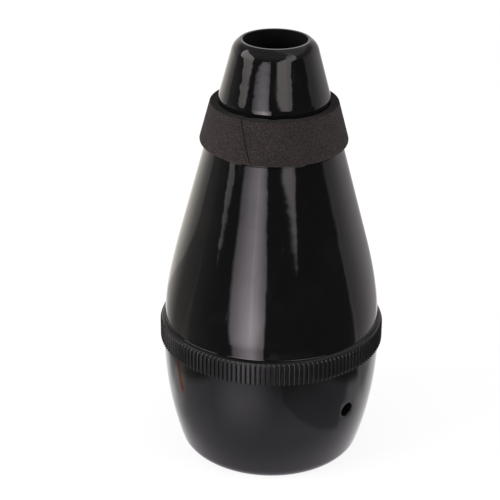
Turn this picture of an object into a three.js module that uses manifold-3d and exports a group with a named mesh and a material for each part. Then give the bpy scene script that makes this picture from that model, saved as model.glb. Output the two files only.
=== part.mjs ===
// A practice mute for a small brass bell, in millimetres, +Z up, with the origin at the centre of its base.
// A ribbed collar turns on the rim of a bowl and screws up a tall moulded cone that can't turn with it. A slit
// foam strip seals the cone in the bell, a funnel tube leads the breath down from the neck, and a foam pad
// damps the bowl.
import * as THREE from "three";
import { mergeVertices } from "three/addons/utils/BufferGeometryUtils.js";
import Module from "manifold-3d";

const wasm = await Module();
wasm.setup();

// Fits that every piece shares
const WALL = 2.5; // wall of the two moulded shells
const BOND_GAP = 0.3; // glue film between bonded pieces
const TURN_GAP = 0.3; // room all round the collar, and round the spigot inside it
const CUT_OVERRUN = 4; // how far a cutting tool runs past what it cuts

// Bowl
const BOWL_HEIGHT = 46; // base to the seat of the collar
const BASE_RADIUS = 28.6; // flat part of the base
const BASE_EDGE_RADIUS = 6.6;
const BOWL_KNEE_RADIUS_SHARE = 0.99; // of the bowl's rim, for the knee that the side wall curves round
const BOWL_KNEE_HEIGHT_SHARE = 0.494; // of the bowl's height
const GROOVE_DEPTH = 2.8; // groove under the rim flange, in from the side wall
const FLANGE_OVER_GROOVE = 0.7; // how far the flange overhangs the groove
const FLANGE_THICKNESS = 1.5;
const FLANGE_CHAMFER = 0.4;
const MOUTH_WALL = 2.3; // wall of the bowl behind the groove
const VENT_RADIUS = 2.6;
const VENT_HEIGHT_SHARE = 0.613; // of the bowl's height
const VENT_AZIMUTH = -Math.PI / 4; // from +X, so to the right of the front

// Collar
const COLLAR_RADIUS = 42.6; // over the crests of its ribs
const HEEL_THICKNESS = 2; // inner lip at the bottom, snapped under the bowl's flange
const COLLAR_HEIGHT = 8.9;
const COLLAR_OVER_BOWL = 1.3; // how far it stands proud of the bowl
const COLLAR_OVER_CONE = 2; // and of the cone
const COLLAR_EDGE_RADIUS = 0.2; // rounding of its top edge
const COLLAR_RIM_DEPTH = 0.4; // top of the collar to where its ribs have run out
const COLLAR_MOUTH_DEPTH = 0.7; // counterbore that hides the foot of the cone
const RIB_COUNT = 148;
const RIB_DEPTH = 0.65; // height of a rib over the collar's wall
const RIB_RUN_OUT = 1.6; // slope at the upper end of each rib, back to the wall
const RIB_ROOT = 0.12; // how deep the ring of ribs is let into the wall
const RIB_CREST_SHARE = 0.42; // of one rib's pitch
const RIB_FLANK_SHARE = 0.1; // of one rib's pitch, each side

// Cone
const CONE_LENGTH = 105; // top of the collar to the start of the rounded lip
const NECK_RADIUS = 15.75; // where the lip starts
const LIP_RADIUS = 5.9; // rounding of the top end
const OPENING_RADIUS = 11.75;
const LIP_EDGE = 0.35; // broken edge of the opening
const BELLY_LENGTH = 33; // curved foot of the cone, above the collar
const BELLY_RADIUS_SHARE = 0.8625; // of the cone's foot, where the curve meets the straight cone
const BELLY_KNEE_SHARE = 0.6806; // of the belly's length, down from its top
const CONE_FOOT_DEPTH = 0.4; // how far the foot reaches into the collar
const SPIGOT_STEP = 0.9; // how far the screwed spigot stands back from the foot
const SPIGOT_CHAMFER = 0.4;

// Gasket between the spigot and the bowl's flange
const GASKET_THICKNESS = 1;
const GASKET_MARGIN = 0.2; // in from each edge of the flange

// Foam strip round the neck
const SEAL_DROP = 20.5; // down the slope from the lip
const SEAL_WIDTH = 15.9;
const SEAL_PROUD = 2.45; // how far it stands over the cone's surface
const SEAL_TOP_RADIUS = 0.5; // rounding of its upper outer edge
const SEAL_BOTTOM_RADIUS = 1.3; // and of its lower one, which leads into the bell
const SEAT_DEPTH = 1; // band sunk in the cone's wall that the strip sits in
const SEAT_MARGIN = 0.6; // room between the strip and each end of that band
const SEAT_SHOULDER_RADIUS = 5; // the neck rolls in over the upper end of the band
const SEAM_GAP = 0.35; // slit where the strip's two ends meet
const SEAM_TOP_AZIMUTH = THREE.MathUtils.degToRad(-120.1);
const SEAM_BOTTOM_AZIMUTH = THREE.MathUtils.degToRad(-107.6);

// Funnel tube inside the neck
const TUBE_BORE_RADIUS = 6.5;
const TUBE_WALL = 1.5;
const TUBE_DROP = 8; // rim of the funnel below the start of the lip
const FUNNEL_SEAT_LENGTH = 5; // conical band bonded to the neck
const FUNNEL_LENGTH = 8; // from that band to the straight tube
const TUBE_LENGTH = 68; // straight part

// Foam pad on the floor of the bowl
const PAD_THICKNESS = 12;
const PAD_EDGE_RADIUS = 2;

// Facets
const SHELL_FACETS = 60;
const SMALL_FACETS = 36;
const CURVE_STEPS = 6;
const ARC_STEPS = 5;

// Heights and radii that follow from the sizes above
const collarTop = BOWL_HEIGHT + COLLAR_HEIGHT;
const bowlRadius = COLLAR_RADIUS - COLLAR_OVER_BOWL;
const shoulderHeight = BOWL_HEIGHT - TURN_GAP;
const grooveRadius = bowlRadius - GROOVE_DEPTH;
const flangeRadius = grooveRadius + FLANGE_OVER_GROOVE;
const flangeBottom = BOWL_HEIGHT + HEEL_THICKNESS + TURN_GAP;
const flangeTop = flangeBottom + FLANGE_THICKNESS;
const mouthRadius = grooveRadius - MOUTH_WALL;
const footRadius = COLLAR_RADIUS - COLLAR_OVER_CONE;
const footBottom = collarTop - CONE_FOOT_DEPTH;
const spigotRadius = footRadius - SPIGOT_STEP;
const spigotBottom = flangeTop + GASKET_THICKNESS;
const neckHeight = collarTop + CONE_LENGTH;
const bellyTop = collarTop + BELLY_LENGTH;
const bellyRadius = footRadius * BELLY_RADIUS_SHARE;
const coneSlope = (bellyRadius - NECK_RADIUS) / (neckHeight - bellyTop);
const coneAngle = Math.atan(coneSlope);
const wallAcross = WALL / Math.cos(coneAngle); // the wall measured square to the axis

// Points on the straight cone: along is down the slope from the lip, out is square to its surface.
function onCone(along, out) {
  return new THREE.Vector2(
    NECK_RADIUS + along * Math.sin(coneAngle) + out * Math.cos(coneAngle),
    neckHeight - along * Math.cos(coneAngle) + out * Math.sin(coneAngle),
  );
}

// Points along an arc of the profile plane, both ends included.
function arc(centreRadius, centreHeight, radius, from, to, steps) {
  return Array.from({ length: steps + 1 }, (_, i) => {
    const angle = THREE.MathUtils.lerp(from, to, i / steps);
    return new THREE.Vector2(
      centreRadius + radius * Math.cos(angle),
      centreHeight + radius * Math.sin(angle),
    );
  });
}

// Points along a curve that leaves start and reaches end with the knee as its control point.
function curve(start, knee, end) {
  return new THREE.QuadraticBezierCurve(start, knee, end).getPoints(CURVE_STEPS);
}

function point(radius, height) {
  return new THREE.Vector2(radius, height);
}

// Turns a profile round the Z axis. A profile off the axis is closed on its first point.
function revolve(profile, facets) {
  const onAxis = profile[0].x === 0;
  const outline = onAxis ? profile : [...profile, profile[0]];
  return new THREE.LatheGeometry(outline, facets).rotateX(Math.PI / 2);
}

// A closed geometry as a solid that can be cut and joined.
function solidOf(geometry) {
  const bare = geometry.clone().deleteAttribute("normal").deleteAttribute("uv");
  const merged = mergeVertices(bare);
  return new wasm.Manifold(
    new wasm.Mesh({
      numProp: 3,
      vertProperties: new Float32Array(merged.getAttribute("position").array),
      triVerts: new Uint32Array(merged.index.array),
    }),
  );
}

// A solid back as a geometry.
function geometryOf(solid) {
  const mesh = solid.getMesh();
  const geometry = new THREE.BufferGeometry();
  geometry.setAttribute("position", new THREE.BufferAttribute(mesh.vertProperties, 3));
  geometry.setIndex(new THREE.BufferAttribute(mesh.triVerts, 1));
  geometry.computeVertexNormals();
  return geometry;
}

// Outside of the bowl's side wall: the knee, and where the rounded base edge hands over to the wall.
const bowlKnee = point(bowlRadius * BOWL_KNEE_RADIUS_SHARE, BOWL_HEIGHT * BOWL_KNEE_HEIGHT_SHARE);
const edgeToKnee = point(bowlKnee.x - BASE_RADIUS, bowlKnee.y - BASE_EDGE_RADIUS);
const wallStartAngle = edgeToKnee.angle() - Math.acos(BASE_EDGE_RADIUS / edgeToKnee.length());

function baseEdge(radius, from, to) {
  return arc(BASE_RADIUS, BASE_EDGE_RADIUS, radius, from, to, ARC_STEPS);
}

function bowlOutside() {
  const edge = baseEdge(BASE_EDGE_RADIUS, -Math.PI / 2, wallStartAngle);
  const wall = curve(edge.at(-1), bowlKnee, point(bowlRadius, shoulderHeight));
  return [...edge, ...wall.slice(1)];
}

function bowlInside() {
  const edge = baseEdge(BASE_EDGE_RADIUS - WALL, wallStartAngle, -Math.PI / 2);
  const wall = curve(point(mouthRadius, flangeTop), point(mouthRadius, bowlKnee.y), edge[0]);
  return [...wall, ...edge.slice(1)];
}

// A point on the bowl's outside at a height, with the direction square to the wall there.
function onBowlWall(height) {
  const outside = bowlOutside();
  const above = outside.findIndex((p) => p.y > height);
  const [low, high] = [outside[above - 1], outside[above]];
  const along = high.clone().sub(low);
  const share = (height - low.y) / along.y;
  return {
    radius: low.x + along.x * share,
    normal: point(along.y, -along.x).normalize(),
  };
}

// Round hole through the bowl's wall, square to it, that lets the breath out.
function ventDrill() {
  const height = BOWL_HEIGHT * VENT_HEIGHT_SHARE;
  const { radius, normal } = onBowlWall(height);
  const reach = 2 * (WALL + CUT_OVERRUN);
  const drill = new THREE.Mesh(
    new THREE.CylinderGeometry(VENT_RADIUS, VENT_RADIUS, reach, SMALL_FACETS / 2),
  );
  const heading = new THREE.Vector3(
    normal.x * Math.cos(VENT_AZIMUTH),
    normal.x * Math.sin(VENT_AZIMUTH),
    normal.y,
  );
  drill.quaternion.setFromUnitVectors(new THREE.Vector3(0, 1, 0), heading);
  drill.position.set(radius * Math.cos(VENT_AZIMUTH), radius * Math.sin(VENT_AZIMUTH), height);
  drill.updateMatrixWorld();
  return solidOf(drill.geometry.applyMatrix4(drill.matrixWorld));
}

function lowerBowl() {
  const profile = [
    point(0, 0),
    ...bowlOutside(),
    point(grooveRadius, shoulderHeight),
    point(grooveRadius, flangeBottom),
    point(flangeRadius, flangeBottom),
    point(flangeRadius, flangeTop - FLANGE_CHAMFER),
    point(flangeRadius - FLANGE_CHAMFER, flangeTop),
    ...bowlInside(),
    point(0, WALL),
  ];
  return geometryOf(solidOf(revolve(profile, SHELL_FACETS)).subtract(ventDrill()));
}

// Outline of the ribbed band, seen from above: four points for each rib.
function ribOutline(wallRadius) {
  const pitch = (2 * Math.PI) / RIB_COUNT;
  const crestStart = RIB_FLANK_SHARE;
  const crestEnd = crestStart + RIB_CREST_SHARE;
  const corners = [
    [wallRadius, 0],
    [COLLAR_RADIUS, crestStart],
    [COLLAR_RADIUS, crestEnd],
    [wallRadius, crestEnd + RIB_FLANK_SHARE],
  ];
  const outline = [];
  for (let rib = 0; rib < RIB_COUNT; rib += 1) {
    for (const [radius, share] of corners) {
      const angle = (rib + share) * pitch;
      outline.push(point(radius * Math.cos(angle), radius * Math.sin(angle)));
    }
  }
  return outline;
}

// A ring of ribs between two heights.
function ribBand(wallRadius, bottom, top) {
  const shape = new THREE.Shape(ribOutline(wallRadius));
  const bore = new THREE.Path();
  bore.absarc(0, 0, wallRadius - 2 * RIB_DEPTH, 0, 2 * Math.PI, true);
  shape.holes.push(bore);
  const band = new THREE.ExtrudeGeometry(shape, {
    depth: top - bottom,
    bevelEnabled: false,
    curveSegments: SMALL_FACETS,
  });
  return band.translate(0, 0, bottom);
}

// Brings the ribs of a band back to the wall at the band's upper end.
function runOut(band, wallRadius, top) {
  const places = band.getAttribute("position");
  const place = new THREE.Vector3();
  for (let i = 0; i < places.count; i += 1) {
    place.fromBufferAttribute(places, i);
    const radius = Math.hypot(place.x, place.y);
    if (radius > wallRadius && Math.abs(place.z - top) < RIB_RUN_OUT / 2) {
      places.setXY(i, (place.x * wallRadius) / radius, (place.y * wallRadius) / radius);
    }
  }
  return band;
}

// The collar's heel turns in the groove of the bowl, its bore is threaded for the spigot, and its wider mouth
// hides the foot of the cone.
function gripCollar() {
  const wallRadius = COLLAR_RADIUS - RIB_DEPTH;
  const coreRadius = wallRadius - RIB_ROOT;
  const ribTop = collarTop - COLLAR_RIM_DEPTH;
  const crestTop = ribTop - RIB_RUN_OUT;
  const edge = arc(
    wallRadius - COLLAR_EDGE_RADIUS,
    collarTop - COLLAR_EDGE_RADIUS,
    COLLAR_EDGE_RADIUS,
    0,
    Math.PI / 2,
    2,
  );
  const mouthBottom = collarTop - COLLAR_MOUTH_DEPTH;
  const collarMouth = footRadius + TURN_GAP;
  const threadBore = spigotRadius + TURN_GAP;
  const heelBore = grooveRadius + TURN_GAP;
  const heelTop = BOWL_HEIGHT + HEEL_THICKNESS;
  const profile = [
    point(coreRadius, BOWL_HEIGHT),
    point(coreRadius, ribTop),
    point(wallRadius, ribTop),
    ...edge,
    point(collarMouth, collarTop),
    point(collarMouth, mouthBottom),
    point(threadBore, mouthBottom),
    point(threadBore, heelTop),
    point(heelBore, heelTop),
    point(heelBore, BOWL_HEIGHT),
  ];
  const core = solidOf(revolve(profile, SHELL_FACETS));
  const ribs = solidOf(ribBand(wallRadius, BOWL_HEIGHT, crestTop));
  const ends = solidOf(runOut(ribBand(wallRadius, crestTop, ribTop), wallRadius, ribTop));
  return geometryOf(core.add(ribs).add(ends));
}

// Rounding at the top of the cone: its centre lies square to the cone's surface, inside the neck.
const lipCentre = onCone(0, -LIP_RADIUS);

// The band that the foam strip sits in, from its square lower end up to the shoulder that rolls in over it.
function sealSeat() {
  const lowerEnd = SEAL_DROP + SEAL_WIDTH + SEAT_MARGIN;
  const turn = Math.acos(1 - SEAT_DEPTH / SEAT_SHOULDER_RADIUS);
  const shoulderDrop = SEAL_DROP - SEAT_MARGIN - SEAT_SHOULDER_RADIUS * Math.sin(turn);
  const centre = onCone(shoulderDrop, -SEAT_SHOULDER_RADIUS);
  return [
    onCone(lowerEnd, 0),
    onCone(lowerEnd, -SEAT_DEPTH),
    ...arc(centre.x, centre.y, SEAT_SHOULDER_RADIUS, coneAngle - turn, coneAngle, 3),
  ];
}

function coneOutside() {
  const straightTop = onCone(0, 0);
  const knee = point(
    bellyRadius + BELLY_LENGTH * BELLY_KNEE_SHARE * coneSlope,
    bellyTop - BELLY_LENGTH * BELLY_KNEE_SHARE,
  );
  const belly = curve(point(footRadius, collarTop), knee, point(bellyRadius, bellyTop));
  const lipEnd = Math.acos((OPENING_RADIUS + LIP_EDGE - lipCentre.x) / LIP_RADIUS);
  const lip = arc(lipCentre.x, lipCentre.y, LIP_RADIUS, coneAngle, lipEnd, ARC_STEPS);
  return [...belly, ...sealSeat(), straightTop, ...lip.slice(1)];
}

function coneInside() {
  const lipInner = LIP_RADIUS - WALL;
  const lipEnd = Math.acos((OPENING_RADIUS - lipCentre.x) / lipInner);
  const lip = arc(lipCentre.x, lipCentre.y, lipInner, lipEnd, coneAngle, 2);
  const bellyInside = bellyRadius - wallAcross;
  const knee = point(mouthRadius, bellyTop - (mouthRadius - bellyInside) / coneSlope);
  const foot = point(mouthRadius, spigotBottom);
  const belly = curve(point(bellyInside, bellyTop), knee, foot);
  return [...lip, ...belly];
}

function upperCone() {
  const outside = coneOutside();
  const lipTop = outside.at(-1);
  const profile = [
    point(spigotRadius - SPIGOT_CHAMFER, spigotBottom),
    point(spigotRadius, spigotBottom + SPIGOT_CHAMFER),
    point(spigotRadius, footBottom),
    point(footRadius, footBottom),
    ...outside,
    point(OPENING_RADIUS, lipTop.y - LIP_EDGE),
    ...coneInside(),
  ];
  return revolve(profile, SHELL_FACETS);
}

function seamGasket() {
  const outer = flangeRadius - FLANGE_CHAMFER - GASKET_MARGIN;
  const inner = mouthRadius + GASKET_MARGIN;
  const profile = [
    point(inner, flangeTop),
    point(outer, flangeTop),
    point(outer, spigotBottom),
    point(inner, spigotBottom),
  ];
  return revolve(profile, SHELL_FACETS);
}

// The strip's section: square ends against its seat, rounded edges outside.
function sealSection() {
  const inner = BOND_GAP - SEAT_DEPTH;
  const lowEnd = SEAL_DROP + SEAL_WIDTH;
  const low = onCone(lowEnd - SEAL_BOTTOM_RADIUS, SEAL_PROUD - SEAL_BOTTOM_RADIUS);
  const high = onCone(SEAL_DROP + SEAL_TOP_RADIUS, SEAL_PROUD - SEAL_TOP_RADIUS);
  return [
    onCone(lowEnd, inner),
    ...arc(low.x, low.y, SEAL_BOTTOM_RADIUS, coneAngle - Math.PI / 2, coneAngle, 3),
    ...arc(high.x, high.y, SEAL_TOP_RADIUS, coneAngle, coneAngle + Math.PI / 2, 2),
    onCone(SEAL_DROP, inner),
  ];
}

// Places a point of the section round the neck: turn runs from 0 to 1, from one side of the slit to the other.
function roundNeck(p, turn) {
  const top = onCone(SEAL_DROP, 0).y;
  const bottom = onCone(SEAL_DROP + SEAL_WIDTH, 0).y;
  const seam = THREE.MathUtils.mapLinear(p.y, top, bottom, SEAM_TOP_AZIMUTH, SEAM_BOTTOM_AZIMUTH);
  const halfGap = SEAM_GAP / 2 / p.x;
  const azimuth = THREE.MathUtils.lerp(seam + halfGap, seam + 2 * Math.PI - halfGap, turn);
  return [p.x * Math.cos(azimuth), p.x * Math.sin(azimuth), p.y];
}

// The strip goes once round the neck, and its two ends face each other across a slanted slit.
function neckSeal() {
  const section = sealSection();
  const count = section.length;
  const positions = [];
  for (let stop = 0; stop <= SHELL_FACETS; stop += 1) {
    section.forEach((p) => positions.push(...roundNeck(p, stop / SHELL_FACETS)));
  }
  const faces = [];
  for (let near = 0; near < SHELL_FACETS * count; near += 1) {
    const next = near % count === count - 1 ? near + 1 - count : near + 1;
    faces.push(near, near + count, next, next, near + count, next + count);
  }
  const lastStop = SHELL_FACETS * count;
  for (const [a, b, c] of THREE.ShapeUtils.triangulateShape(section, [])) {
    faces.push(a, b, c, lastStop + c, lastStop + b, lastStop + a);
  }
  const strip = new THREE.BufferGeometry();
  strip.setAttribute("position", new THREE.Float32BufferAttribute(positions, 3));
  strip.setIndex(faces);
  strip.computeVertexNormals();
  return strip;
}

// A funnel bonded inside the neck, running down into a straight tube.
function innerTube() {
  const seat = -(WALL + BOND_GAP);
  const inside = seat - TUBE_WALL;
  const rimOut = onCone(TUBE_DROP, seat);
  const rimIn = onCone(TUBE_DROP, inside);
  const seatOut = onCone(TUBE_DROP + FUNNEL_SEAT_LENGTH, seat);
  const seatIn = onCone(TUBE_DROP + FUNNEL_SEAT_LENGTH, inside);
  const throat = seatOut.y - FUNNEL_LENGTH;
  const tubeEnd = throat - TUBE_LENGTH;
  const tubeRadius = TUBE_BORE_RADIUS + TUBE_WALL;
  const outer = curve(point(tubeRadius, throat), point(tubeRadius, seatOut.y - TUBE_WALL), seatOut);
  const inner = curve(seatIn, point(TUBE_BORE_RADIUS, seatIn.y), point(TUBE_BORE_RADIUS, throat));
  const profile = [
    point(TUBE_BORE_RADIUS, tubeEnd),
    point(tubeRadius, tubeEnd),
    ...outer,
    rimOut,
    rimIn,
    ...inner,
  ];
  return revolve(profile, SMALL_FACETS);
}

// A die-cut disc that covers the flat floor of the bowl, a glue film above it.
function dampingPad() {
  const bottom = WALL + BOND_GAP;
  const top = bottom + PAD_THICKNESS;
  const edge = arc(
    BASE_RADIUS - PAD_EDGE_RADIUS,
    top - PAD_EDGE_RADIUS,
    PAD_EDGE_RADIUS,
    0,
    Math.PI / 2,
    2,
  );
  const profile = [point(0, bottom), point(BASE_RADIUS, bottom), ...edge, point(0, top)];
  return revolve(profile, SMALL_FACETS);
}

// Plastics and foams
const glossBlack = new THREE.MeshStandardMaterial({
  color: 0x0d0d0e,
  roughness: 0.12,
  metalness: 0,
});
const satinBlack = new THREE.MeshStandardMaterial({
  color: 0x1a1a1b,
  roughness: 0.45,
  metalness: 0,
});
const sealFoam = new THREE.MeshStandardMaterial({
  color: 0x332e2d,
  roughness: 0.95,
  metalness: 0,
});
const padFoam = new THREE.MeshStandardMaterial({
  color: 0x3c3c40,
  roughness: 1,
  metalness: 0,
});
const blackRubber = new THREE.MeshStandardMaterial({
  color: 0x151515,
  roughness: 0.7,
  metalness: 0,
});

function piece(name, geometry, material) {
  const mesh = new THREE.Mesh(geometry, material);
  mesh.name = name;
  return mesh;
}

const mute = new THREE.Group();
mute.add(
  piece("lower_bowl", lowerBowl(), glossBlack),
  piece("grip_collar", gripCollar(), satinBlack),
  piece("damping_pad", dampingPad(), padFoam),
  piece("seam_gasket", seamGasket(), blackRubber),
  piece("upper_cone", upperCone(), glossBlack),
  piece("inner_tube", innerTube(), satinBlack),
  piece("neck_seal", neckSeal(), sealFoam),
);

export default mute;
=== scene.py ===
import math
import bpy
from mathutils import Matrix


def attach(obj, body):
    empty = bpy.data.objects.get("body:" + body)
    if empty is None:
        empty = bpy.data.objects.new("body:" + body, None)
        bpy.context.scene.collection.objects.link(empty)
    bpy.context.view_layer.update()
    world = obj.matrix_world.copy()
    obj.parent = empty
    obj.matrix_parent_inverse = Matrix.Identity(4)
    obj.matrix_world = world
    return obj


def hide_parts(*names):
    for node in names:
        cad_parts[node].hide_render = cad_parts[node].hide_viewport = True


bl_info = {
    "name": "Practice mute",
    "version": (1, 0, 0),
    "blender": (4, 5, 0),
    "location": "View3D > Sidebar > Mute",
    "description": "Dresses a screw-together practice mute and sets up its studio",
    "category": "Object",
}

from types import SimpleNamespace

import bmesh
import bpy
from mathutils import Matrix, Vector

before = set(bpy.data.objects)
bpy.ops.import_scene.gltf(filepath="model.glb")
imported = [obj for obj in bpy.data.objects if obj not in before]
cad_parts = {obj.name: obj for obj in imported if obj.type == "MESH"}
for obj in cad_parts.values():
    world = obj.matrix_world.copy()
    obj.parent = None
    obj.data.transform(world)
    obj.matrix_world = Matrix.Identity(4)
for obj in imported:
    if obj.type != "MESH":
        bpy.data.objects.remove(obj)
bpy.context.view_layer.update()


# Properties


def length(name, description, default):
    """A length in metres, shown with three more digits than Blender's own default."""
    return bpy.props.FloatProperty(
        name=name,
        description=description,
        default=default,
        min=0.0,
        unit="LENGTH",
        precision=6,
    )


def share(name, description, default):
    """A share of another size."""
    return bpy.props.FloatProperty(
        name=name,
        description=description,
        default=default,
        min=0.0,
        max=1.0,
        subtype="FACTOR",
        precision=4,
    )


def angle(name, description, degrees):
    """An angle, given in degrees and kept in radians."""
    return bpy.props.FloatProperty(
        name=name,
        description=description,
        default=math.radians(degrees),
        subtype="ANGLE",
        unit="ROTATION",
    )


def paint(name, description, default):
    """A linear colour."""
    return bpy.props.FloatVectorProperty(
        name=name,
        description=description,
        default=default,
        size=3,
        min=0.0,
        max=1.0,
        subtype="COLOR",
    )


def plain(name, description, default):
    """A plain number with no unit."""
    return bpy.props.FloatProperty(name=name, description=description, default=default, precision=4)


class MuteBowlSizes(bpy.types.PropertyGroup):
    """Sizes of the bowl and of the fits that the shells share."""

    wall: length("Wall", "Wall of both moulded shells", 0.0025)
    turn_gap: length("Turning gap", "Room round the collar and the spigot", 0.0003)
    height: length("Height", "Base to the underside of the collar", 0.046)
    base_radius: length("Base radius", "Radius of the flat under the bowl", 0.0286)
    edge_radius: length("Edge radius", "Rounding between the base and the side", 0.0066)
    knee_radius_share: share("Knee radius", "Knee of the side, as a share of the rim", 0.99)
    knee_height_share: share("Knee height", "Knee of the side, as a share of the height", 0.494)
    groove_depth: length("Groove depth", "Groove that the collar's heel turns in", 0.0028)
    flange_reach: length("Flange reach", "How far the flange overhangs the groove", 0.0007)
    flange_thickness: length("Flange thickness", "Thickness of the flange", 0.0015)
    flange_chamfer: length("Flange chamfer", "Broken top edge of the flange", 0.0004)
    mouth_wall: length("Mouth wall", "Wall of the bowl behind the groove", 0.0023)
    vent_radius: length("Vent radius", "Radius of the vent hole", 0.0026)
    vent_height_share: share("Vent height", "Height of the vent, as a share of the bowl's", 0.613)
    vent_azimuth: angle("Vent azimuth", "Where the vent is, from the right-hand side", -45.0)


class MuteConeSizes(bpy.types.PropertyGroup):
    """Sizes of the cone and of its screwed spigot."""

    length: length("Length", "Collar to the start of the rounded lip", 0.105)
    neck_radius: length("Neck radius", "Radius where the lip starts", 0.01575)
    lip_radius: length("Lip radius", "Rounding of the top end", 0.0059)
    opening_radius: length("Opening radius", "Radius of the opening", 0.01175)
    bore_depth: length("Bore depth", "How far the opening runs straight down", 0.0075)
    land_width: length("Land width", "Narrow land round the opening", 0.0008)
    land_slope: angle("Land slope", "Fall of the land towards the bore", 1.0)
    land_edge: length("Land edge", "Rounding of the land's two edges", 0.00022)
    belly_length: length("Belly length", "Curved foot of the cone", 0.033)
    belly_radius_share: share("Belly radius", "Top of the belly, as a share of the foot", 0.8625)
    belly_knee_share: share("Belly knee", "Knee of the belly, as a share of its length", 0.6806)
    foot_depth: length("Foot depth", "How far the foot reaches into the collar", 0.0004)
    foot_flare: length("Foot flare", "Fillet where the cone meets the edge of its foot", 0.00014)
    spigot_step: length("Spigot step", "How far the spigot stands back", 0.0009)
    spigot_chamfer: length("Spigot chamfer", "Broken end of the spigot", 0.0004)
    thread_pitch: length("Thread pitch", "Rise of the thread in one turn", 0.0025)
    thread_height: length("Thread height", "How far the thread stands out", 0.00022)


class MuteCollarSizes(bpy.types.PropertyGroup):
    """Sizes of the ribbed collar."""

    radius: length("Radius", "Over the crests of the ribs", 0.0426)
    height: length("Height", "Height of the collar", 0.0089)
    over_bowl: length("Over the bowl", "How far it stands proud of the bowl", 0.0013)
    over_cone: length("Over the cone", "How far it stands proud of the cone", 0.002)
    heel_thickness: length("Heel thickness", "Inner lip under the bowl's flange", 0.002)
    edge_radius: length("Edge radius", "Rounding of the top edge", 0.0003)
    rim_depth: length("Rim depth", "Thickness of the plain rim over the ribs", 0.0004)
    rim_rise: length("Rim rise", "How far the top of the rim slopes up to the cone", 0.0004)
    rib_recess: length("Rib recess", "How far the valleys stand back from the rim", 0.00004)
    mouth_depth: length("Mouth depth", "Counterbore round the foot of the cone", 0.0007)
    rib_count: bpy.props.IntProperty(name="Ribs", description="Ribs round the collar", default=148, min=8)
    rib_depth: length("Rib depth", "Height of a rib over the collar's wall", 0.00065)
    rib_run_out: length("Rib run-out", "Slope at the upper end of each rib", 0.0016)


class MuteSealSizes(bpy.types.PropertyGroup):
    """Sizes of the foam strip round the neck."""

    drop: length("Drop", "Down the slope from the lip to the strip", 0.0205)
    width: length("Width", "Width of the strip", 0.0159)
    proud: length("Proud", "How far the strip stands out from the cone", 0.00245)
    bond_gap: length("Bond", "Glue film", 0.0003)
    top_radius: length("Top edge radius", "Rounding of the upper outer edge", 0.0005)
    bottom_radius: length("Bottom edge radius", "Rounding of the lower outer edge", 0.0013)
    seat_depth: length("Seat depth", "How far the cone steps in under the strip", 0.001)
    seat_margin: length("Seat margin", "Room between the strip and the ends of its seat", 0.0006)
    shoulder_radius: length("Seat shoulder", "Rounding from the cone into the seat's top end", 0.005)
    top_rise: length("Top rise", "How far the inner top edge bulges up the cone", 0.0005)
    seam_gap: length("Seam gap", "Slit between the two ends", 0.00035)
    seam_top: angle("Seam top", "Azimuth of the slit at its top", -120.1)
    seam_bottom: angle("Seam bottom", "Azimuth of the slit at its bottom", -107.6)


class MuteInsideSizes(bpy.types.PropertyGroup):
    """Sizes of the tube, pad and gasket."""

    gasket_thickness: length("Gasket thickness", "Thickness of the gasket", 0.001)
    gasket_margin: length("Gasket margin", "In from each edge of the flange", 0.0002)
    tube_bore: length("Tube bore radius", "Radius of the bore", 0.0065)
    tube_wall: length("Tube wall", "Wall of the tube", 0.0015)
    tube_drop: length("Tube drop", "Rim of the funnel below the lip", 0.008)
    funnel_seat: length("Funnel seat", "Band that is bonded to the neck", 0.005)
    funnel_length: length("Funnel length", "From that band to the straight tube", 0.008)
    tube_length: length("Tube length", "Straight part", 0.068)
    pad_thickness: length("Pad thickness", "Thickness of the foam pad", 0.012)
    pad_edge: length("Pad edge", "Rounding of the pad's top edge", 0.002)


class MuteFinishes(bpy.types.PropertyGroup):
    """Colours of the plastics, foams and rubber."""

    shell: paint("Shell", "Polished black plastic", (0.0046, 0.0046, 0.0049))
    shell_inside: paint("Shell inside", "Unpolished inside of the shells", (0.0048, 0.0048, 0.0048))
    tube: paint("Tube", "Plain black plastic of the funnel tube", (0.020, 0.020, 0.020))
    collar: paint("Collar", "Satin black plastic", (0.0112, 0.0112, 0.0114))
    seal: paint("Seal", "Closed-cell foam of the bell seal", (0.0300, 0.0245, 0.0235))
    pad: paint("Pad", "Open-cell foam of the pad", (0.045, 0.045, 0.05))
    rubber: paint("Rubber", "Gasket rubber", (0.012, 0.012, 0.012))
    dust: paint("Dust", "Dust that settles on the plastic", (0.30, 0.29, 0.28))


class MuteStage(bpy.types.PropertyGroup):
    """The camera and the lights."""

    camera_place: bpy.props.FloatVectorProperty(
        name="Camera", description="Where the camera stands", size=3, unit="LENGTH",
        default=(-0.008408, -0.534020, 0.329425),
    )
    camera_pitch: angle("Pitch", "How far the camera looks down", 24.9693)
    camera_roll: angle("Roll", "Tilt of the picture", 0.4707)
    camera_lens: plain("Lens", "Focal length on a 36 mm sensor, in millimetres", 112.2685)
    lamp_level: plain("Lamps", "Level of the two soft lamps", 1.0)
    fill_level: plain("Fill", "Level of the light from all round", 0.45)


GROUPS = {
    "mute_bowl": MuteBowlSizes,
    "mute_cone": MuteConeSizes,
    "mute_collar": MuteCollarSizes,
    "mute_seal": MuteSealSizes,
    "mute_inside": MuteInsideSizes,
    "mute_finish": MuteFinishes,
    "mute_stage": MuteStage,
}


# Heights and radii that follow from the sizes


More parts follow.
